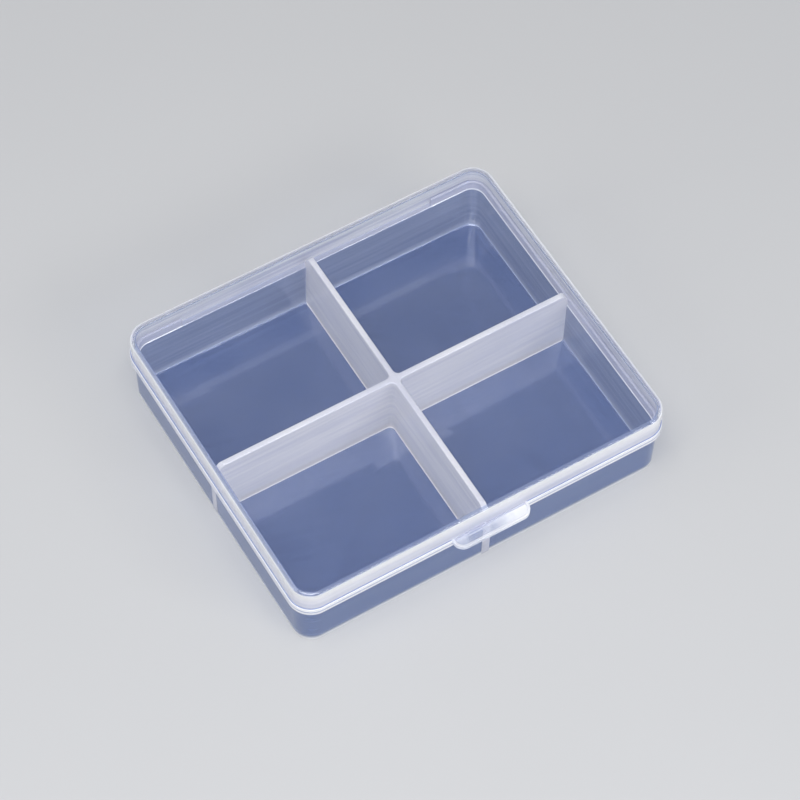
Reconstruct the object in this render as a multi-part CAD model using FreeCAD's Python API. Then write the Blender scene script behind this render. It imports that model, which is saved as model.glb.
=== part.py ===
import FreeCAD, Part
import os

from FreeCAD import Vector

# Flat clear storage box: a tray with four compartments and a lid on a living hinge.
# X runs along the front, Y towards the hinge and Z up. The origin is the middle of the base.

# Outline shared by the tray's flange and the lid's lower bead, and height of the shut box
outline_length = 90.0
outline_depth = 77.0
corner_radius = 5.2
box_height = 20.8

# Tray
floor_thickness = 1.2
wall_thickness = 1.3
wall_inset = 0.85
wall_draft = 0.25
base_edge_radius = 2.0
floor_edge_radius = 1.4

# Rim of the tray: flange that the lid stands on, and upright lip inside the lid
flange_thickness = 1.1
flange_edge_radius = 0.3
lip_thickness = 0.7
lip_height = 2.3
lip_edge_radius = 0.2

# Dividers and the post where they cross
divider_base_width = 1.9
divider_top_width = 1.3
divider_rise_above_lip = 1.5
divider_headroom = 1.6
divider_end_radius = 2.0
divider_edge_radius = 0.25
crossing_radius = 1.2

# Lid, and the gap between its skirt and the tray's lip
lid_thickness = 1.2
lid_clearance = 0.35
skirt_inset = 0.3
skirt_thickness = 0.75
lid_edge_radius = 1.2
lid_inner_radius = 0.7
bead_height = 1.1
bead_edge_radius = 0.25

# Thumb tab in the middle of the lid's front, and the rib along its free edge
tab_width = 18.3
tab_reach = 2.75
tab_thickness = 0.8
tab_corner_radius = 2.4
rib_width = 0.6
rib_height = 0.4
rib_edge_radius = 0.2

# Living hinge along the back: two thin leaves folded face to face
hinge_width = 62.0
leaf_reach = 0.9
leaf_thickness = 0.4
hinge_end_gap = 0.5

# Snap beads in the gap between lip and skirt, and the small detent on the left
snap_width = 14.0
snap_clearance = 0.09
snap_height = 0.7
snap_edge_gap = 0.3
detent_width = 1.2
detent_height = 1.5
detent_place = 16.8

# Extra reach of every cutting body, and how near to a level an edge counts as lying at it
overrun = 2.0
level_tolerance = 0.01

# Levels from the lid's top down to the flange, and insets, that follow from the sizes above
lid_underside = box_height - lid_thickness
divider_top = lid_underside - divider_headroom
lip_top = divider_top - divider_rise_above_lip
flange_top = lip_top - lip_height
flange_underside = flange_top - flange_thickness
wall_inner_inset = wall_inset + wall_thickness
skirt_inner_inset = skirt_inset + skirt_thickness
lip_inset = skirt_inner_inset + lid_clearance
lip_inner_inset = lip_inset + lip_thickness
snap_depth = (lid_clearance - snap_clearance) / 2
front_face = -outline_depth / 2
back_face = outline_depth / 2
left_face = -outline_length / 2


def outline_wire(inset, level):
    """Rounded rectangle that lies inset from the shared outline, at one level."""
    half_length = outline_length / 2 - inset
    half_depth = outline_depth / 2 - inset
    radius = corner_radius - inset
    straight_x = half_length - radius
    straight_y = half_depth - radius
    slant = radius * 2 ** -0.5
    edges = []
    for sign_x, sign_y in ((1, 1), (-1, 1), (-1, -1), (1, -1)):
        centre = Vector(sign_x * straight_x, sign_y * straight_y, level)
        beside = centre + Vector(sign_x * radius, 0, 0)
        middle = centre + Vector(sign_x * slant, sign_y * slant, 0)
        above = centre + Vector(0, sign_y * radius, 0)
        turn = (beside, middle, above)
        if sign_x != sign_y:
            turn = (above, middle, beside)
        edges.append(Part.Arc(*turn).toShape())
        if sign_x == sign_y:
            edges.append(Part.makeLine(above, Vector(-above.x, above.y, level)))
        else:
            edges.append(Part.makeLine(beside, Vector(beside.x, -beside.y, level)))
    return Part.Wire(edges)


def slab(inset, bottom, top):
    """Upright block with the inset outline."""
    return Part.Face(outline_wire(inset, bottom)).extrude(Vector(0, 0, top - bottom))


def drafted_slab(inset_at_base, inset_at_top, bottom, top):
    """Block whose sides lean evenly from one inset to the other."""
    wires = [outline_wire(inset_at_base, bottom), outline_wire(inset_at_top, top)]
    return Part.makeLoft(wires, True, True)


def edges_at(shape, level):
    """Edges that lie flat at one level."""
    return [e for e in shape.Edges if all(abs(v.Z - level) < level_tolerance for v in e.Vertexes)]


def block(low, high):
    """Box between two opposite corners."""
    return Part.makeBox(high.x - low.x, high.y - low.y, high.z - low.z, low)


def tray_body():
    """Outside of the tray as a full body, up to the top of the flange."""
    body = drafted_slab(wall_inset + wall_draft, wall_inset, 0, flange_top)
    return body.makeFillet(base_edge_radius, edges_at(body, 0))


def tray_room():
    """Hollow of the tray between floor and flange top, with its rounded floor edge."""
    room = drafted_slab(wall_inner_inset + wall_draft, wall_inner_inset, floor_thickness, flange_top)
    return room.makeFillet(floor_edge_radius, edges_at(room, floor_thickness))


def hinge_zone(end_gap, bottom, top):
    """Space behind the tray's rear compartments that the living hinge takes up."""
    half = hinge_width / 2 + end_gap
    return block(
        Vector(-half, back_face - wall_inner_inset - overrun, bottom),
        Vector(half, back_face + overrun, top),
    )


def tray_shell():
    """Floor and walls in one drafted shell."""
    return tray_body().cut(tray_room())


def rim_flange():
    """Ring outside the wall that the lid's skirt stands on."""
    ring = slab(0, flange_underside, flange_top)
    ring = ring.makeFillet(flange_edge_radius, edges_at(ring, flange_underside))
    return ring.cut(tray_body())


def rim_lip():
    """Upright lip on the wall, inside the lid's skirt, left out along the hinge."""
    lip = slab(lip_inset, flange_top, lip_top)
    lip = lip.makeFillet(lip_edge_radius, edges_at(lip, lip_top))
    lip = lip.cut(slab(lip_inner_inset, flange_top - overrun, lip_top + overrun))
    return lip.cut(hinge_zone(0, flange_top - overrun, lip_top + overrun))


def divider_room():
    """Hollow that the dividers fill: the tray's room, and above it a body with rounded ends."""
    upper = slab(lip_inner_inset, flange_top, divider_top)
    upper = upper.makeFillet(divider_end_radius, edges_at(upper, divider_top))
    return tray_room().fuse(upper).removeSplitter()


def divider_bar(along_x, room, post):
    """Drafted wall through the whole tray, rounded along its top, less the crossing post."""
    half_base = divider_base_width / 2
    half_top = divider_top_width / 2
    reach = outline_length / 2
    corners = [
        Vector(-reach, -half_base, floor_thickness),
        Vector(-reach, half_base, floor_thickness),
        Vector(-reach, half_top, divider_top),
        Vector(-reach, -half_top, divider_top),
    ]
    bar = Part.Face(Part.makePolygon(corners + corners[:1])).extrude(Vector(2 * reach, 0, 0))
    top_edges = [e for e in edges_at(bar, divider_top) if e.BoundBox.XLength > reach]
    bar = bar.makeFillet(divider_edge_radius, top_edges)
    if not along_x:
        bar.rotate(Vector(0, 0, 0), Vector(0, 0, 1), 90)
    return bar.common(room).cut(post)


def crossing_section(width, level):
    """Cross-section of the post: a square with its corners hollowed by quarter circles."""
    half = width / 2
    side = half + crossing_radius
    hollow = side - crossing_radius * 2 ** -0.5
    edges = []
    for quarter in range(4):
        start = Vector(side, half, level)
        middle = Vector(hollow, hollow, level)
        end = Vector(half, side, level)
        arc = Part.Arc(start, middle, end).toShape()
        flat = Part.makeLine(end, Vector(-half, side, level))
        for edge in (arc, flat):
            edge.rotate(Vector(0, 0, level), Vector(0, 0, 1), 90 * quarter)
            edges.append(edge)
    return Part.Wire(edges)


def crossing_post():
    """Post where the four dividers meet, with hollow rounded corners."""
    sections = [
        crossing_section(divider_base_width, floor_thickness),
        crossing_section(divider_top_width, divider_top),
    ]
    return Part.makeLoft(sections, True, True)


def dividers():
    """The four dividers, each from the post to its wall."""
    room = divider_room()
    post = crossing_post()
    halves = {}
    for along_x, names in ((True, ("left", "right")), (False, ("front", "rear"))):
        solids = divider_bar(along_x, room, post).Solids
        place = (lambda s: s.CenterOfMass.x) if along_x else (lambda s: s.CenterOfMass.y)
        for name, solid in zip(names, sorted(solids, key=place)):
            halves[name + "_divider"] = solid
    return halves


def lid_shell():
    """Flat lid with a rounded edge and a skirt, open below."""
    outside = slab(skirt_inset, flange_top, box_height)
    outside = outside.makeFillet(lid_edge_radius, edges_at(outside, box_height))
    inside = slab(skirt_inner_inset, flange_top - overrun, lid_underside)
    inside = inside.makeFillet(lid_inner_radius, edges_at(inside, lid_underside))
    return outside.cut(inside)


def lid_rim_bead():
    """Bead round the skirt's lower edge, flush with the tray's flange, open at the hinge."""
    ring = slab(0, flange_top, flange_top + bead_height)
    ring = ring.makeFillet(bead_edge_radius, edges_at(ring, flange_top + bead_height))
    ring = ring.cut(slab(skirt_inset, flange_top - overrun, flange_top + bead_height + overrun))
    return ring.cut(hinge_zone(hinge_end_gap, flange_top - overrun, flange_top + bead_height + overrun))


def tab_plan(margin, level):
    """Face of the thumb tab seen from above, drawn in by a margin at its free edges."""
    half = tab_width / 2 - margin
    tip = front_face - tab_reach + margin
    radius = tab_corner_radius - margin
    slant = radius * (1 - 2 ** -0.5)
    root_left = Vector(-half, front_face, level)
    root_right = Vector(half, front_face, level)
    left_turn = [
        Vector(-half, tip + radius, level),
        Vector(-half + slant, tip + slant, level),
        Vector(-half + radius, tip, level),
    ]
    right_turn = [Vector(-p.x, p.y, p.z) for p in reversed(left_turn)]
    edges = [
        Part.makeLine(root_right, root_left),
        Part.makeLine(root_left, left_turn[0]),
        Part.Arc(*left_turn).toShape(),
        Part.makeLine(left_turn[-1], right_turn[0]),
        Part.Arc(*right_turn).toShape(),
        Part.makeLine(right_turn[-1], root_right),
    ]
    return Part.Face(Part.Wire(edges))


def thumb_tab():
    """Plate that the thumb lifts, standing out from the bead."""
    return tab_plan(0, flange_top).extrude(Vector(0, 0, tab_thickness))


def tab_rib():
    """Raised rib along the tab's free edge."""
    level = flange_top + tab_thickness
    rise = Vector(0, 0, rib_height)
    outside = tab_plan(0, level).extrude(rise)
    outside = outside.makeFillet(rib_edge_radius, edges_at(outside, level + rib_height))
    return outside.cut(tab_plan(rib_width, level).extrude(rise))


def hinge_leaf(root, bottom):
    """One thin leaf of the living hinge, from its root to the fold line."""
    return block(
        Vector(-hinge_width / 2, root, bottom),
        Vector(hinge_width / 2, back_face + leaf_reach, bottom + leaf_thickness),
    )


def tray_hinge_leaf():
    """Leaf that leaves the tray's flange."""
    return hinge_leaf(back_face, flange_top - leaf_thickness)


def lid_hinge_leaf():
    """Leaf that leaves the lid's skirt and lies on the tray's leaf when the lid is shut."""
    return hinge_leaf(back_face - skirt_inset, flange_top)


def front_catch():
    """Bead on the outside of the lip that the lid snaps over."""
    face = front_face + lip_inset
    top = lip_top - snap_edge_gap
    return block(
        Vector(-snap_width / 2, face - snap_depth, top - snap_height),
        Vector(snap_width / 2, face, top),
    )


def lid_snap_bead():
    """Bead inside the skirt that passes under the catch."""
    face = front_face + skirt_inner_inset
    bottom = flange_top + snap_edge_gap
    return block(
        Vector(-snap_width / 2, face, bottom),
        Vector(snap_width / 2, face + snap_depth, bottom + snap_height),
    )


def side_detent():
    """Small nub on the outside of the left lip."""
    face = left_face + lip_inset
    bottom = flange_top + snap_edge_gap
    return block(
        Vector(face - snap_depth, detent_place - detent_width / 2, bottom),
        Vector(face, detent_place + detent_width / 2, bottom + detent_height),
    )


pieces = {
    "tray_shell": tray_shell(),
    "rim_flange": rim_flange(),
    "rim_lip": rim_lip(),
    "crossing_post": crossing_post(),
    "front_catch": front_catch(),
    "side_detent": side_detent(),
    "tray_hinge_leaf": tray_hinge_leaf(),
    "lid_hinge_leaf": lid_hinge_leaf(),
    "lid_shell": lid_shell(),
    "lid_rim_bead": lid_rim_bead(),
    "lid_snap_bead": lid_snap_bead(),
    "thumb_tab": thumb_tab(),
    "tab_rib": tab_rib(),
}
pieces.update(dividers())

os.makedirs("parts", exist_ok=True)
for node, shape in pieces.items():
    shape.exportStep("parts/" + node + ".step")
    size = shape.BoundBox
    print(node, len(shape.Solids), "solid", shape.isValid(), round(shape.Volume, 1), size)
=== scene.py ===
import math

import bmesh
import bpy
from mathutils import Matrix, Vector


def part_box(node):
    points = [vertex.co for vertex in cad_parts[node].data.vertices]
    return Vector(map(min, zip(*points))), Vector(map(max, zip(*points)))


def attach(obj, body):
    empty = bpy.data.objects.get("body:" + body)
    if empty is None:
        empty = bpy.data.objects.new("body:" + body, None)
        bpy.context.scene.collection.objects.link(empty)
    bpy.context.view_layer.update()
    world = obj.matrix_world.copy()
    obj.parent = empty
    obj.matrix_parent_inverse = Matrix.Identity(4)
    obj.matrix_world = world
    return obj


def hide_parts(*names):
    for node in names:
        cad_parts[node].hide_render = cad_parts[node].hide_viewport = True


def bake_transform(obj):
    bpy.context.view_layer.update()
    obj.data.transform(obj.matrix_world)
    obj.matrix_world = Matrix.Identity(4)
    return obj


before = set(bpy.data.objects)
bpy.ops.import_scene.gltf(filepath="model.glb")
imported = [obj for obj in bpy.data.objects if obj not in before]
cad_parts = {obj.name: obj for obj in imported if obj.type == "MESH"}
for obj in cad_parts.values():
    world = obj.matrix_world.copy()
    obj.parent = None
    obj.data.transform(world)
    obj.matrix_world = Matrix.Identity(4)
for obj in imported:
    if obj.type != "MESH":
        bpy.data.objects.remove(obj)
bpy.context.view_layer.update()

# Sizes that the solids give, in metres
flange_low, flange_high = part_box("rim_flange")
half_length = flange_high.x
half_depth = flange_high.y
flange_bottom = flange_low.z
flange_top = flange_high.z
wall_inset = half_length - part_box("tray_shell")[1].x
lip_inset = half_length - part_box("rim_lip")[1].x
lip_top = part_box("rim_lip")[1].z
divider_low, divider_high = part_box("right_divider")
lip_inner_inset = half_length - divider_high.x
floor_top = divider_low.z
divider_top = divider_high.z
divider_base_half = divider_high.y
skirt_inset = half_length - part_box("lid_shell")[1].x
lid_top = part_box("lid_shell")[1].z
bead_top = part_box("lid_rim_bead")[1].z
tab_low, tab_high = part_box("thumb_tab")
rib_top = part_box("tab_rib")[1].z
tray_leaf_low, tray_leaf_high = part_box("tray_hinge_leaf")
lid_leaf_low, lid_leaf_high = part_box("lid_hinge_leaf")

# Sizes of the mouldings that the boxes of the solids don't give, in metres
corner_radius = 0.0052
wall_thickness = 0.0013
wall_draft = 0.00025
base_edge_radius = 0.0020
floor_edge_radius = 0.0006
flange_edge_radius = 0.0003
seam_radius = 0.00015
lip_edge_radius = 0.0003
foot_radius = 0.00012
ledge_radius = 0.00005
ledge_drop = 0.00015
ledge_width = 0.0001
divider_foot_radius = 0.00015
divider_top_half = 0.00065
divider_end_radius = 0.0020
divider_edge_radius = 0.00025
crossing_radius = 0.0012
lid_thickness = 0.0012
lid_edge_radius = 0.0012
lid_inner_radius = 0.0007
skirt_thickness = 0.00075
bead_edge_radius = 0.0003
tab_corner_radius = 0.0024
tab_edge_radius = 0.0002
rib_width = 0.0006
root_depth = 0.0006
sink_depth = 0.0003
film_thickness = 0.0001
film_slit = 0.00001
leaf_bevel = 0.0004
seat_gap = 0.00004
support_gap = 0.00008
station_gap = 0.0004
step_gap = 0.0002
flat_step = 0.00002
lip_face_inset = lip_inner_inset - ledge_width

# Counts of steps round a corner of the outline, a rounded edge and the end of a divider
CORNER_STEPS = 14
EDGE_STEPS = 6
END_STEPS = 9

# Shares for laying out the profiles, the ends of the small beads and the bend of the hinge leaves
ROOM_SHARE = 0.45
SUPPORT_SHARE = 0.05
BEAD_END_SHARES = (-1, -0.9, -0.6, 0.6, 0.9, 1)
BEAD_STRAIGHT_SHARE = 0.6
BEAD_TIP_SHARE = 0.05
LEAF_BEND_SHARE = 1 / 3

# Sharpest bend, in degrees, that is shaded as a smooth surface
SMOOTH_DEGREES = 35

# Numbers for the plastic
NOISE_SHARES = (0.37, 0.63)
WHOLE_FACING_SHARES = (0.2, 1.0)
SKIRT_FACING_SHARES = (0.2, 0.55)
EDGE_FACING_SHARES = (0.12, 0.4)
FACING_BLEND = 0.5
NOISE_DETAIL = 4.0
CLOUD_SCALE = 70.0
STREAK_SCALES = (25.0, 900.0)
WAVE_SCALE = 120.0
WAVE_DETAIL = 2.0
FLAT_WAVE_SHARE = 0.05
WALL_WAVE_SHARE = 0.015
PLASTIC_IOR = 1.49
COAT_IOR = 2.2
COAT_ROUGHNESS = 0.12
PASS_GAMMA = 0.2

# Depth of the plastic's waves, and levels between which painted light turns its edges bright, in metres
wave_depth = 0.0001
foot_painted_glow_levels = (0.0025, 0.0012)
divider_painted_glow_levels = (floor_top + divider_end_radius, floor_top)
skirt_painted_highlight_levels = ((bead_top + lid_top) / 2 - lid_edge_radius, lid_top - lid_edge_radius)

# Material places on the tray, the lid and the thumb tab; the bright line places are painted highlights, and
# the dark seam places and the lid's hollow fillet are painted shade
FLOOR, WALL, OUTER_WALL, TRAY_RIM, TRAY_PAINTED_HIGHLIGHT, TRAY_PAINTED_SHADE = range(6)
PANEL, SKIRT, SKIRT_INNER, LID_PAINTED_HIGHLIGHT, LID_PAINTED_SHADE, LID_EDGE, LID_FILLET_PAINTED_SHADE = range(7)
PLATE, RIB = range(2)

# Stage: sizes in metres, and for each lamp its name, place, width and height, and power in watts
ground_half_size = 3.0
GROUND_COLOURS = ((0.56, 0.565, 0.58), (0.58, 0.585, 0.60))
GROUND_SCALE = 9.0
GROUND_ROUGHNESS = 0.35
LAMPS = (
    ("top", (-0.20, -0.20, 0.90), (0.6, 0.6), 6.8),
    ("front", (0.26, -0.78, 0.44), (0.6, 0.20), 3.6),
    ("left", (-0.80, 0.05, 0.40), (0.45, 0.45), 1.8),
)
SKY_COLOUR = (0.93, 0.96, 1.0, 1)
SKY_STRENGTH = 0.22

# Camera: picture sizes in pixels, place and near limit in metres, and its right and up directions
PICTURE_HALF_WIDTH = 400
PICTURE_FOCAL_LENGTH = 3248
PICTURE_SHIFT = -0.8
camera_place = Vector((-0.19591, -0.31372, 0.59574))
camera_near = 0.01
CAMERA_RIGHT = Vector((0.85800, -0.51344, 0.01435))
CAMERA_UP = Vector((0.42771, 0.72964, 0.53356))


# Profiles and rings

def rounded(corners):
    """Points (across, up, material) through corners (across, up, radius, edge material, run material).

    Each corner is rounded and has a support point on both sides. A point's material is that of the
    strip after it.
    """
    line = []
    for place, (across, up, radius, edge, run) in enumerate(corners):
        point = Vector((across, up))
        if place in (0, len(corners) - 1):
            line.append((across, up, run))
            continue
        before = Vector(corners[place - 1][:2]) - point
        after = Vector(corners[place + 1][:2]) - point
        half_angle = before.angle(after) / 2
        room = min(before.length, after.length) * ROOM_SHARE
        reach = min(radius / math.tan(half_angle), room)
        before.normalize()
        after.normalize()
        centre = point + (before + after).normalized() * (reach / math.cos(half_angle))
        first = point + before * reach
        last = point + after * reach
        side = 1 if before.x * after.y - before.y * after.x < 0 else -1
        swing = side * (math.pi - 2 * half_angle)
        support = min(support_gap, room * SUPPORT_SHARE)
        edges = edge if isinstance(edge, tuple) else (edge,) * EDGE_STEPS
        line.append((*(first + before * support), edges[0]))
        for step in range(EDGE_STEPS + 1):
            arm = Matrix.Rotation(swing * step / EDGE_STEPS, 2) @ (first - centre)
            line.append((*(centre + arm), edges[min(step, EDGE_STEPS - 1)]))
        line.append((*(last + after * support), run))
    return line


def outline_stations():
    """Places round the outline: middle of the curve, direction outwards, kind of section, divider mark."""
    stations = []
    hinge_end = tray_leaf_high.x
    tab_end = tab_high.x
    for quarter in range(4):
        turn = math.radians(90 * quarter)
        out = Vector((math.cos(turn), math.sin(turn)))
        along = Vector((-math.sin(turn), math.cos(turn)))
        reach = (half_depth if quarter % 2 else half_length) - corner_radius
        run = (half_length if quarter % 2 else half_depth) - corner_radius
        spots = [station_gap - run, -divider_base_half, divider_base_half, run - station_gap]
        if quarter == 1:
            spots += [-hinge_end - step_gap, -hinge_end, hinge_end, hinge_end + step_gap]
        if quarter == 3:
            spots += [-tab_end, tab_end]
        for spot in sorted(spots):
            kind = "plain"
            if quarter == 1 and -hinge_end <= spot <= hinge_end:
                kind = "hinge"
            if quarter == 3 and -tab_end <= spot < tab_end:
                kind = "tab"
            stations.append((out * reach + along * spot, out, kind, spot == -divider_base_half))
        corner = out * reach + along * run
        for step in range(CORNER_STEPS + 1):
            angle = turn + math.radians(90 * step / CORNER_STEPS)
            stations.append((corner, Vector((math.cos(angle), math.sin(angle))), "plain", False))
    return stations


def swept(name, profiles, materials, behind_divider):
    """Closed mesh from sections round the outline, one for each kind of place, with flat caps."""
    bm = bmesh.new()
    stations = outline_stations()
    plain = profiles["plain"]
    rings = []
    for step in range(len(plain)):
        ring = []
        for middle, out, kind, at_divider in stations:
            inset, level, zone = profiles[kind][step]
            spot = middle + out * (corner_radius - inset)
            ring.append(bm.verts.new((spot.x, spot.y, level)))
        rings.append(ring)
    bridge(bm, rings)
    bm.faces.ensure_lookup_table()
    for step in range(len(plain) - 1):
        for place, (middle, out, kind, at_divider) in enumerate(stations):
            inset, level, zone = profiles[kind][step]
            shows_divider = at_divider and level < flange_bottom
            face = bm.faces[step * len(stations) + place]
            face.material_index = behind_divider if shows_divider else zone
    bm.faces[-2].material_index = plain[0][2]
    bm.faces[-1].material_index = plain[-1][2]
    return finished(name, bm, materials)


def bridge(bm, rings):
    """Quads between neighbouring rings, and a face over the first and the last ring."""
    for lower, upper in zip(rings, rings[1:]):
        count = len(lower)
        for place in range(count):
            after = (place + 1) % count
            bm.faces.new((lower[place], lower[after], upper[after], upper[place]))
    bm.faces.new(list(reversed(rings[0])))
    bm.faces.new(rings[-1])


def finished(name, bm, materials):
    """Object made from the mesh, with its faces turned outwards, and its materials."""
    bmesh.ops.recalc_face_normals(bm, faces=bm.faces)
    mesh = bpy.data.meshes.new(name)
    bm.to_mesh(mesh)
    bm.free()
    for material in materials:
        mesh.materials.append(material)
    return placed(name, mesh)


def placed(name, data):
    """Object with the given data, put into the scene."""
    made = bpy.data.objects.new(name, data)
    bpy.context.scene.collection.objects.link(made)
    return made


# Tray

def tray_profile(lip_level, ledge):
    """Section of the tray from the middle of its underside, over the rim, to the compartments' floor."""
    outer_foot = wall_inset + wall_draft
    inner = wall_inset + wall_thickness
    inner_foot = inner + wall_draft
    # The last two strips of the base rounding are a painted highlight line.
    base_edge = (FLOOR, FLOOR, OUTER_WALL, OUTER_WALL, TRAY_PAINTED_HIGHLIGHT, TRAY_PAINTED_HIGHLIGHT)
    floor_edge = (WALL, WALL, WALL, FLOOR, FLOOR, FLOOR)
    # The flange's top edge: a painted highlight, then painted shade into the seam under the lid.
    highlight_and_shade_edge = (TRAY_PAINTED_HIGHLIGHT, TRAY_PAINTED_HIGHLIGHT, TRAY_PAINTED_SHADE, TRAY_PAINTED_SHADE, TRAY_PAINTED_SHADE, TRAY_PAINTED_SHADE)
    return rounded([
        (outer_foot + base_edge_radius + station_gap, 0, 0, FLOOR, FLOOR),
        (outer_foot, 0, base_edge_radius, base_edge, OUTER_WALL),
        (wall_inset, flange_bottom, foot_radius, OUTER_WALL, TRAY_RIM),
        # The flange's outer face is a painted highlight.
        (0, flange_bottom, flange_edge_radius, TRAY_RIM, TRAY_PAINTED_HIGHLIGHT),
        (0, flange_top, seam_radius, highlight_and_shade_edge, TRAY_RIM),
        (lip_inset, flange_top, foot_radius, TRAY_RIM, TRAY_RIM),
        (lip_inset, lip_level, lip_edge_radius, TRAY_RIM, TRAY_RIM),
        (lip_face_inset, lip_level, lip_edge_radius, TRAY_RIM, TRAY_RIM),
        # Where the lip stands, the ledge is a painted highlight line.
        (lip_face_inset, flange_top, ledge_radius, ledge, ledge),
        (inner, flange_top - ledge_drop, ledge_radius, ledge, WALL),
        (inner_foot, floor_top, floor_edge_radius, floor_edge, FLOOR),
        (inner_foot + floor_edge_radius + station_gap, floor_top, 0, FLOOR, FLOOR),
    ])


def divider_half_width(level):
    """Half the width of a divider: it leans in towards the top, with a fillet below and a round above."""
    share = (level - floor_top) / (divider_top - floor_top)
    half = divider_base_half + (divider_top_half - divider_base_half) * share
    above = level - (divider_top - divider_edge_radius)
    if above > 0:
        half -= divider_edge_radius - math.sqrt(max(divider_edge_radius ** 2 - above ** 2, 0))
    below = floor_top + divider_foot_radius - level
    if below > 0:
        depth = min(below, divider_foot_radius)
        half += divider_foot_radius - math.sqrt(divider_foot_radius ** 2 - depth ** 2)
    return half


def cross_ring(bm, level, reach_x, reach_y):
    """Outline of the crossed dividers at one level, with hollow rounded corners at the crossing."""
    half = divider_half_width(level)
    middle = half + crossing_radius
    spots = []
    for quarter in range(4):
        reach = reach_x if quarter % 2 == 0 else reach_y
        turn = Matrix.Rotation(math.radians(90 * quarter), 2)
        spots.append(turn @ Vector((reach, -half)))
        spots.append(turn @ Vector((reach, half)))
        for step in range(EDGE_STEPS + 1):
            angle = math.radians(270 - 90 * step / EDGE_STEPS)
            arm = Vector((math.cos(angle), math.sin(angle))) * crossing_radius
            spots.append(turn @ (Vector((middle, middle)) + arm))
    return [bm.verts.new((spot.x, spot.y, level)) for spot in spots]


def crossed_dividers(name, material):
    """The four dividers and their crossing, sunk a little into the floor and the walls."""
    bm = bmesh.new()
    end_x = half_length - lip_face_inset
    end_y = half_depth - lip_face_inset
    sunk = (end_x + sink_depth, end_y + sink_depth)
    bend = divider_top - divider_end_radius
    rings = [cross_ring(bm, floor_top - sink_depth, *sunk)]
    for step in range(EDGE_STEPS + 1):
        level = floor_top + divider_foot_radius * (1 - math.cos(math.radians(90 * step / EDGE_STEPS)))
        rings.append(cross_ring(bm, level, *sunk))
    rings.append(cross_ring(bm, bend - flat_step, *sunk))
    for step in range(END_STEPS + 1):
        angle = math.radians(90 * step / END_STEPS)
        back = divider_end_radius * (1 - math.cos(angle))
        level = bend + divider_end_radius * math.sin(angle)
        rings.append(cross_ring(bm, level, end_x - back, end_y - back))
    bridge(bm, rings)
    return finished(name, bm, [material])


def bead(name, node, along, outward, material):
    """Half-round bead in the box of a small solid, sunk into the face that carries it."""
    low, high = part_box(node)
    middle = (low + high) / 2
    half = (high - low) / 2
    across = 1 - along
    face = middle[across] - outward * half[across]
    bm = bmesh.new()
    rings = []
    for end in BEAD_END_SHARES:
        taper = max(abs(end) - BEAD_STRAIGHT_SHARE, 0) / (1 - BEAD_STRAIGHT_SHARE)
        swell = math.sqrt(1 - min(taper, 1) ** 2) * (1 - BEAD_TIP_SHARE) + BEAD_TIP_SHARE
        ring = []
        for step in range(2 * EDGE_STEPS + 1):
            angle = math.radians(-90 + 90 * step / EDGE_STEPS)
            spot = Vector((0, 0, middle.z + half.z * math.sin(angle) * swell))
            spot[across] = face + outward * 2 * half[across] * math.cos(angle) * swell
            spot[along] = middle[along] + half[along] * end
            ring.append(spot)
        for level in (1, -1):
            spot = Vector((0, 0, middle.z + level * half.z * swell))
            spot[across] = face - outward * sink_depth
            spot[along] = middle[along] + half[along] * end
            ring.append(spot)
        rings.append([bm.verts.new(spot) for spot in ring])
    bridge(bm, rings)
    return finished(name, bm, [material])


# Lid

def lid_profile(bead_inset, line, seam):
    """Section of the lid from the middle of its underside, round the skirt, to the middle of its top. The
    line and seam places take the bead's painted highlight and the painted shade beside it.
    """
    underside = lid_top - lid_thickness
    inner = skirt_inset + skirt_thickness
    foot = flange_top + seat_gap
    outer_edge = (SKIRT, SKIRT, LID_EDGE, LID_EDGE, LID_EDGE, LID_EDGE)
    return rounded([
        (inner + lid_inner_radius + station_gap, underside, 0, PANEL, PANEL),
        # The hollow fillet under the lid's edge is painted shade.
        (inner, underside, lid_inner_radius, LID_FILLET_PAINTED_SHADE, SKIRT_INNER),
        (inner, foot, foot_radius, SKIRT_INNER, SKIRT_INNER),
        (bead_inset, foot, seam_radius, seam, line),
        (bead_inset, bead_top, bead_edge_radius, line, seam),
        (skirt_inset, bead_top, foot_radius, seam, SKIRT),
        (skirt_inset, lid_top, lid_edge_radius, outer_edge, PANEL),
        (skirt_inset + lid_edge_radius + station_gap, lid_top, 0, PANEL, PANEL),
    ])


def tab_ring(bm, margin, level):
    """Outline of the thumb tab, drawn in at its free edges, with its root inside the lid's skirt."""
    half = tab_high.x - margin
    tip = tab_low.y + margin
    root = tab_high.y + root_depth
    radius = tab_corner_radius - margin
    spots = [Vector((half, root)), Vector((-half, root))]
    for sign, start in ((-1, 180), (1, 270)):
        for step in range(CORNER_STEPS + 1):
            angle = math.radians(start + 90 * step / CORNER_STEPS)
            centre = Vector((sign * (half - radius), tip + radius))
            spots.append(centre + radius * Vector((math.cos(angle), math.sin(angle))))
    return [bm.verts.new((spot.x, spot.y, level)) for spot in spots]


def tab_with_rib(name, materials):
    """Thumb tab: a thin plate with a raised rib along its free edge."""
    section = rounded([
        (tab_edge_radius + station_gap, tab_low.z + flat_step, 0, PLATE, PLATE),
        (0, tab_low.z + flat_step, tab_edge_radius, PLATE, PLATE),
        (0, rib_top, tab_edge_radius, RIB, RIB),
        (rib_width, rib_top, tab_edge_radius, RIB, RIB),
        (rib_width, tab_high.z, tab_edge_radius, PLATE, PLATE),
        (rib_width + tab_edge_radius + station_gap, tab_high.z, 0, PLATE, PLATE),
    ])
    bm = bmesh.new()
    rings = [tab_ring(bm, margin, level) for margin, level, zone in section]
    bridge(bm, rings)
    bm.faces.ensure_lookup_table()
    for strip, (margin, level, zone) in enumerate(section[:-1]):
        for face in bm.faces[strip * len(rings[0]):(strip + 1) * len(rings[0])]:
            face.material_index = zone
    return finished(name, bm, materials)


# Living hinge

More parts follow.
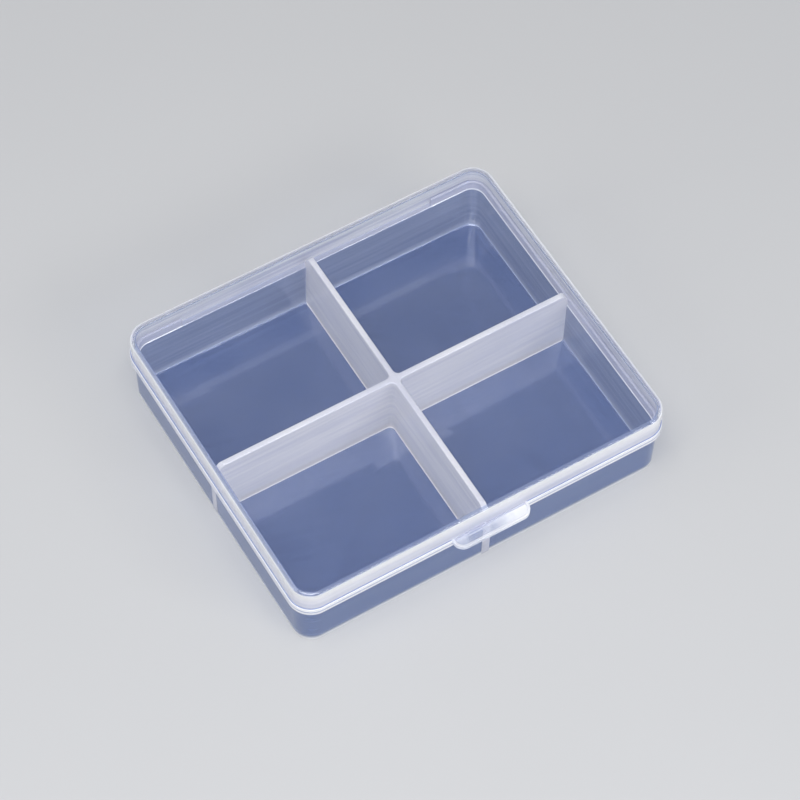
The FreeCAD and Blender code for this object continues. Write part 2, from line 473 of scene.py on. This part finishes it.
def hinge_film(name, material):
    """Two leaves folded face to face and joined by a thin film at the fold line."""
    fold = tray_leaf_high.y
    bottom = tray_leaf_low.z
    top = lid_leaf_high.z
    root = tray_leaf_low.y - sink_depth
    section = [
        (root, bottom),
        (fold - leaf_bevel, bottom),
        (fold - film_thickness, flange_top + (bottom - flange_top) * LEAF_BEND_SHARE),
        (fold, flange_top - film_slit),
        (fold, flange_top + film_slit),
        (fold - film_thickness, flange_top + (top - flange_top) * LEAF_BEND_SHARE),
        (fold - leaf_bevel, top),
        (lid_leaf_low.y, top),
        (lid_leaf_low.y, flange_top + film_slit),
        (fold - film_thickness, flange_top + film_slit),
        (fold - film_thickness, flange_top - film_slit),
        (root, flange_top - film_slit),
    ]
    bm = bmesh.new()
    rings = []
    for across in (tray_leaf_low.x, tray_leaf_high.x):
        rings.append([bm.verts.new((across, along, level)) for along, level in section])
    bridge(bm, rings)
    return finished(name, bm, [material])


# Joining

def united(name, base, extras):
    """One closed mesh from a base and the features moulded on it."""
    for extra in extras:
        union = base.modifiers.new(extra.name, "BOOLEAN")
        union.operation = "UNION"
        union.solver = "EXACT"
        union.material_mode = "TRANSFER"
        union.object = extra
    bpy.context.view_layer.update()
    shape = base.evaluated_get(bpy.context.evaluated_depsgraph_get())
    mesh = bpy.data.meshes.new_from_object(shape)
    for old in [base, *extras]:
        bpy.data.objects.remove(old)
    mesh.name = name
    made = placed(name, mesh)
    smooth(made)
    return made


def smooth(made):
    """Smooth shading that stops at the true edges."""
    made.data.shade_smooth()
    made.data.set_sharp_from_angle(angle=math.radians(SMOOTH_DEGREES))


# Parts of the materials

def new_material(name):
    """Empty node material, with its shader, output and the point on the piece."""
    made = bpy.data.materials.new(name)
    made.use_nodes = True
    nodes = made.node_tree.nodes
    nodes.clear()
    output = nodes.new("ShaderNodeOutputMaterial")
    shader = nodes.new("ShaderNodeBsdfPrincipled")
    made.node_tree.links.new(shader.outputs["BSDF"], output.inputs["Surface"])
    point = nodes.new("ShaderNodeTexCoord").outputs["Object"]
    return made, shader, point


def add_node(made, kind, inputs, **settings):
    """Node with its settings, and its inputs set or linked by name or place."""
    node = made.node_tree.nodes.new(kind)
    for key, value in settings.items():
        setattr(node, key, value)
    for key, value in inputs.items():
        if isinstance(value, bpy.types.NodeSocket):
            made.node_tree.links.new(value, node.inputs[key])
        else:
            node.inputs[key].default_value = value
    return node


def ranged(made, value, old_range, new_range):
    """Value carried from one range to another and kept inside it."""
    return add_node(made, "ShaderNodeMapRange", {
        "Value": value, "From Min": old_range[0], "From Max": old_range[1],
        "To Min": new_range[0], "To Max": new_range[1],
    }).outputs["Result"]


def spread(made, noise, new_range):
    """Noise, which stays near its middle, opened up to a range."""
    return ranged(made, noise, NOISE_SHARES, new_range)


def blended(made, factor, first, second):
    """Colour between two colours, each given or linked."""
    node = made.node_tree.nodes.new("ShaderNodeMix")
    node.data_type = "RGBA"
    made.node_tree.links.new(factor, node.inputs["Factor"])
    for socket, colour in ((node.inputs[6], first), (node.inputs[7], second)):
        if isinstance(colour, bpy.types.NodeSocket):
            made.node_tree.links.new(colour, socket)
        else:
            socket.default_value = (*colour, 1)
    return node.outputs[2]


def maths(made, operation, first, second):
    """Sum, product or other step on two values, each given or linked."""
    return add_node(made, "ShaderNodeMath", {0: first, 1: second}, operation=operation).outputs[0]


def noisy(made, point, scale, detail):
    """Noise at a point."""
    inputs = {"Vector": point, "Scale": scale, "Detail": detail}
    return add_node(made, "ShaderNodeTexNoise", inputs).outputs["Fac"]


def cloudy(made, point):
    """Soft clouds, as in plain moulded faces."""
    return noisy(made, point, CLOUD_SCALE, NOISE_DETAIL)


def streaky(made, point):
    """Flow streaks along the walls and dividers: noise that is long sideways and short upwards."""
    parts = add_node(made, "ShaderNodeSeparateXYZ", {"Vector": point})
    side_x = maths(made, "ABSOLUTE", parts.outputs["X"], 0)
    side_y = maths(made, "ABSOLUTE", parts.outputs["Y"], 0)
    along = maths(made, "MAXIMUM", side_x, side_y)
    lean = maths(made, "ADD", parts.outputs["X"], parts.outputs["Y"])
    squeezed = add_node(made, "ShaderNodeCombineXYZ", {
        "X": maths(made, "MULTIPLY", along, STREAK_SCALES[0]),
        "Y": maths(made, "MULTIPLY", parts.outputs["Z"], STREAK_SCALES[1]),
        "Z": maths(made, "MULTIPLY", lean, STREAK_SCALES[0]),
    })
    return noisy(made, squeezed.outputs["Vector"], 1, NOISE_DETAIL)


def wavy(made, point, wave_share):
    """Shallow waves in a moulded face."""
    return add_node(made, "ShaderNodeBump", {
        "Height": noisy(made, point, WAVE_SCALE, WAVE_DETAIL), "Strength": wave_share, "Distance": wave_depth,
    }).outputs["Normal"]


def painted_glow(made, point, colour, clear, levels, glow_colour, glow_share):
    """Painted light: colour and clearness that turn brighter and milkier between two levels."""
    level = add_node(made, "ShaderNodeSeparateXYZ", {"Vector": point}).outputs["Z"]
    rise = ranged(made, level, levels, (0, 1))
    fade = maths(made, "SUBTRACT", 1, maths(made, "MULTIPLY", rise, glow_share))
    return blended(made, rise, colour, glow_colour), maths(made, "MULTIPLY", clear, fade)


def let_light_pass(made, shader, colour, pass_share):
    """Shadow and diffuse rays go straight through with a light tint, so the plastic's shadow is soft."""
    path = add_node(made, "ShaderNodeLightPath", {})
    passing = maths(made, "MAXIMUM", path.outputs["Is Shadow Ray"], path.outputs["Is Diffuse Ray"])
    tint = add_node(made, "ShaderNodeGamma", {"Color": colour, "Gamma": PASS_GAMMA})
    through = add_node(made, "ShaderNodeBsdfTransparent", {"Color": tint.outputs["Color"]})
    factor = maths(made, "MULTIPLY", passing, pass_share)
    mixed = add_node(made, "ShaderNodeMixShader", {
        0: factor, 1: shader.outputs["BSDF"], 2: through.outputs["BSDF"],
    })
    output = next(node for node in made.node_tree.nodes if node.type == "OUTPUT_MATERIAL")
    made.node_tree.links.new(mixed.outputs["Shader"], output.inputs["Surface"])


def clear_plastic(
        name, colours, clear_shares, pass_share, roughnesses, pattern=cloudy,
        facing_shares=WHOLE_FACING_SHARES, wave_share=0, cloud_share=0, glow=None, coat_share=0):
    """Hazy clear plastic: see-through face on, and milkier where it is seen along its surface."""
    made, shader, point = new_material(name)
    links = made.node_tree.links
    noise = pattern(made, point)
    colour = blended(made, spread(made, noise, (0, 1)), *colours)
    facing = add_node(made, "ShaderNodeLayerWeight", {"Blend": FACING_BLEND})
    clear = ranged(made, facing.outputs["Facing"], facing_shares, clear_shares)
    if cloud_share:
        clear = maths(made, "MULTIPLY", clear, spread(made, noise, (1, 1 - cloud_share)))
    if glow:
        colour, clear = painted_glow(made, point, colour, clear, *glow)
    links.new(colour, shader.inputs["Base Color"])
    links.new(clear, shader.inputs["Transmission Weight"])
    links.new(spread(made, noise, roughnesses), shader.inputs["Roughness"])
    if wave_share:
        links.new(wavy(made, point, wave_share), shader.inputs["Normal"])
    shader.inputs["IOR"].default_value = PLASTIC_IOR
    shader.inputs["Coat Weight"].default_value = coat_share
    shader.inputs["Coat IOR"].default_value = COAT_IOR
    shader.inputs["Coat Roughness"].default_value = COAT_ROUGHNESS
    let_light_pass(made, shader, colour, pass_share)
    return made


# Materials of the tray

def clear_floor():
    """Tray floor, glossy enough to mirror the walls."""
    return clear_plastic(
        "clear_floor", colours=((0.135, 0.205, 0.45), (0.165, 0.235, 0.48)), clear_shares=(0.50, 0.35),
        pass_share=0.9, roughnesses=(0.02, 0.05), wave_share=FLAT_WAVE_SHARE, coat_share=1)


def clear_wall():
    """Inside of the tray's walls."""
    return clear_plastic(
        "clear_wall", colours=((0.36, 0.42, 0.60), (0.45, 0.51, 0.68)), clear_shares=(0.60, 0.45),
        pass_share=0.9, roughnesses=(0.03, 0.07), pattern=streaky, wave_share=WALL_WAVE_SHARE)


def outer_wall():
    """Outside of the tray's walls, brighter at the rounded foot with a painted glow."""
    return clear_plastic(
        "outer_wall", colours=((0.165, 0.24, 0.46), (0.225, 0.30, 0.52)), clear_shares=(0.60, 0.50),
        pass_share=0.9, roughnesses=(0.03, 0.07), pattern=streaky, wave_share=WALL_WAVE_SHARE,
        glow=(foot_painted_glow_levels, (0.95, 0.96, 1.0), 0.6))


def milky_divider():
    """Dividers, milky, and brighter and warmer at the foot with painted light."""
    return clear_plastic(
        "milky_divider", colours=((0.86, 0.85, 0.92), (1.0, 0.98, 0.99)), clear_shares=(0.28, 0.12),
        pass_share=0.6, roughnesses=(0.10, 0.22), pattern=streaky, wave_share=WALL_WAVE_SHARE,
        glow=(divider_painted_glow_levels, (1.0, 0.95, 0.93), 0.25))


def milky_rim():
    """Flange, lip and hinge."""
    return clear_plastic(
        "milky_rim", colours=((0.66, 0.68, 0.82), (0.80, 0.80, 0.90)), clear_shares=(0.50, 0.25),
        pass_share=0.8, roughnesses=(0.05, 0.10), pattern=streaky)


# Materials of the edges on both halves

def painted_highlight_edge():
    """Painted highlight: near-white plastic on thin strips of edges, standing in for the light they catch."""
    return clear_plastic(
        "painted_highlight_edge", colours=((0.93, 0.93, 0.97), (0.98, 0.98, 1.0)), clear_shares=(0.25, 0.1),
        pass_share=0.8, roughnesses=(0.05, 0.10))


def painted_shade_seam():
    """Painted shade: darker blue on the narrow edges beside the seam between tray and lid."""
    return clear_plastic(
        "painted_shade_seam", colours=((0.24, 0.31, 0.54), (0.28, 0.35, 0.58)), clear_shares=(0.35, 0.2),
        pass_share=0.8, roughnesses=(0.10, 0.20))


# Materials of the lid

def clear_panel():
    """Flat top of the lid, the clearest face."""
    return clear_plastic(
        "clear_panel", colours=((0.90, 0.92, 0.97), (0.93, 0.945, 0.985)), clear_shares=(0.99, 0.7),
        pass_share=0.97, roughnesses=(0.01, 0.03), wave_share=FLAT_WAVE_SHARE)


def lid_skirt():
    """Outside of the lid's skirt, brighter towards the top with a painted highlight."""
    return clear_plastic(
        "lid_skirt", colours=((0.72, 0.75, 0.89), (0.88, 0.89, 0.97)), clear_shares=(0.95, 0.55),
        pass_share=0.9, roughnesses=(0.03, 0.07), pattern=streaky, facing_shares=SKIRT_FACING_SHARES,
        glow=(skirt_painted_highlight_levels, (1.0, 1.0, 1.0), 0.6))


def skirt_inside():
    """Inside of the lid's skirt."""
    return clear_plastic(
        "skirt_inside", colours=((0.58, 0.60, 0.76), (1.0, 1.0, 1.0)), clear_shares=(0.35, 0.15),
        pass_share=0.8, roughnesses=(0.05, 0.10), pattern=streaky)


def lid_edge():
    """Rounded edge between the lid's skirt and its flat top."""
    return clear_plastic(
        "lid_edge", colours=((0.92, 0.94, 0.98), (0.95, 0.97, 1.0)), clear_shares=(0.95, 0.25),
        pass_share=0.9, roughnesses=(0.03, 0.07), facing_shares=EDGE_FACING_SHARES)


def lid_fillet_painted_shade():
    """Hollow fillet under the lid's edge, darker blue as painted shade."""
    return clear_plastic(
        "lid_fillet_painted_shade", colours=((0.42, 0.50, 0.74), (0.48, 0.56, 0.79)), clear_shares=(0.75, 0.60),
        pass_share=0.8, roughnesses=(0.05, 0.10))


def tab_plate():
    """Plate of the thumb tab, with milky clouds."""
    return clear_plastic(
        "tab_plate", colours=((0.76, 0.80, 0.92), (0.92, 0.93, 0.98)), clear_shares=(0.85, 0.45),
        pass_share=0.9, roughnesses=(0.04, 0.09), cloud_share=0.6)


def tab_rib():
    """Raised rib of the thumb tab, milky and made whiter as a painted highlight."""
    return clear_plastic(
        "tab_rib", colours=((0.90, 0.91, 0.96), (0.97, 0.97, 1.0)), clear_shares=(0.50, 0.15),
        pass_share=0.8, roughnesses=(0.05, 0.10))


# Pieces

rim_plastic = milky_rim()
painted_highlight_plastic = painted_highlight_edge()
painted_shade_plastic = painted_shade_seam()
skirt_plastic = lid_skirt()

tray = united(
    "tray_moulding",
    swept(
        "tray_sweep",
        {
            "plain": tray_profile(lip_top, TRAY_PAINTED_HIGHLIGHT),
            "hinge": tray_profile(flange_top + flat_step, TRAY_RIM),
            "tab": tray_profile(lip_top, TRAY_PAINTED_HIGHLIGHT),
        },
        [clear_floor(), clear_wall(), outer_wall(), rim_plastic, painted_highlight_plastic, painted_shade_plastic],
        TRAY_RIM,
    ),
    [
        crossed_dividers("cross", milky_divider()),
        bead("catch", "front_catch", 0, -1, rim_plastic),
        # The detent is drawn in the painted highlight plastic, so it shows as a bright spot.
        bead("detent", "side_detent", 1, -1, painted_highlight_plastic),
    ],
)
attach(tray, "tray")
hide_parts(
    "tray_shell", "rim_flange", "rim_lip", "left_divider", "right_divider",
    "front_divider", "rear_divider", "crossing_post", "front_catch", "side_detent",
)

lid = united(
    "lid_moulding",
    swept(
        "lid_sweep",
        {
            "plain": lid_profile(0, LID_PAINTED_HIGHLIGHT, LID_PAINTED_SHADE),
            "hinge": lid_profile(skirt_inset - flat_step, LID_PAINTED_HIGHLIGHT, LID_PAINTED_SHADE),
            "tab": lid_profile(0, SKIRT, SKIRT),
        },
        [
            clear_panel(), skirt_plastic, skirt_inside(), painted_highlight_plastic, painted_shade_plastic,
            lid_edge(), lid_fillet_painted_shade(),
        ],
        SKIRT,
    ),
    [
        tab_with_rib("tab", [tab_plate(), tab_rib()]),
        bead("snap", "lid_snap_bead", 0, 1, skirt_plastic),
    ],
)
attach(lid, "lid")
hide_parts("lid_shell", "lid_rim_bead", "lid_snap_bead", "thumb_tab", "tab_rib")

hinge = hinge_film("living_hinge", rim_plastic)
smooth(hinge)
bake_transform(hinge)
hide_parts("tray_hinge_leaf", "lid_hinge_leaf")


# Stage

def pale_floor():
    """Pale floor material with faint clouds."""
    made, shader, point = new_material("pale_floor")
    noise = noisy(made, point, GROUND_SCALE, NOISE_DETAIL)
    made.node_tree.links.new(blended(made, noise, *GROUND_COLOURS), shader.inputs["Base Color"])
    shader.inputs["Roughness"].default_value = GROUND_ROUGHNESS
    return made


def floor():
    """Wide pale floor."""
    bm = bmesh.new()
    bmesh.ops.create_grid(bm, x_segments=2, y_segments=2, size=ground_half_size)
    made = finished("floor", bm, [pale_floor()])


def area_light(name, place, size, power):
    """Soft rectangular lamp that faces the middle of the floor."""
    lamp = bpy.data.lights.new(name, "AREA")
    lamp.shape = "RECTANGLE"
    lamp.size, lamp.size_y = size
    lamp.energy = power
    made = placed(name, lamp)
    made.location = place
    made.rotation_euler = (-Vector(place)).to_track_quat("-Z", "Y").to_euler()


def sky():
    """Even pale light from all round."""
    world = bpy.data.worlds.new("studio")
    world.use_nodes = True
    background = world.node_tree.nodes["Background"]
    background.inputs["Color"].default_value = SKY_COLOUR
    background.inputs["Strength"].default_value = SKY_STRENGTH
    bpy.context.scene.world = world


def camera():
    """Camera at the photograph's viewing angle."""
    lens = bpy.data.cameras.new("camera")
    lens.sensor_fit = "HORIZONTAL"
    lens.angle = 2 * math.atan(PICTURE_HALF_WIDTH / PICTURE_FOCAL_LENGTH)
    lens.clip_start = camera_near
    lens.shift_x = PICTURE_SHIFT / (2 * PICTURE_HALF_WIDTH)
    made = placed("camera", lens)
    turn = Matrix((CAMERA_RIGHT, CAMERA_UP, CAMERA_RIGHT.cross(CAMERA_UP))).transposed().to_4x4()
    made.matrix_world = Matrix.Translation(camera_place) @ turn
    bpy.context.scene.camera = made


floor()
for lamp_settings in LAMPS:
    area_light(*lamp_settings)
sky()
camera()
bpy.context.scene.view_settings.view_transform = "Standard"
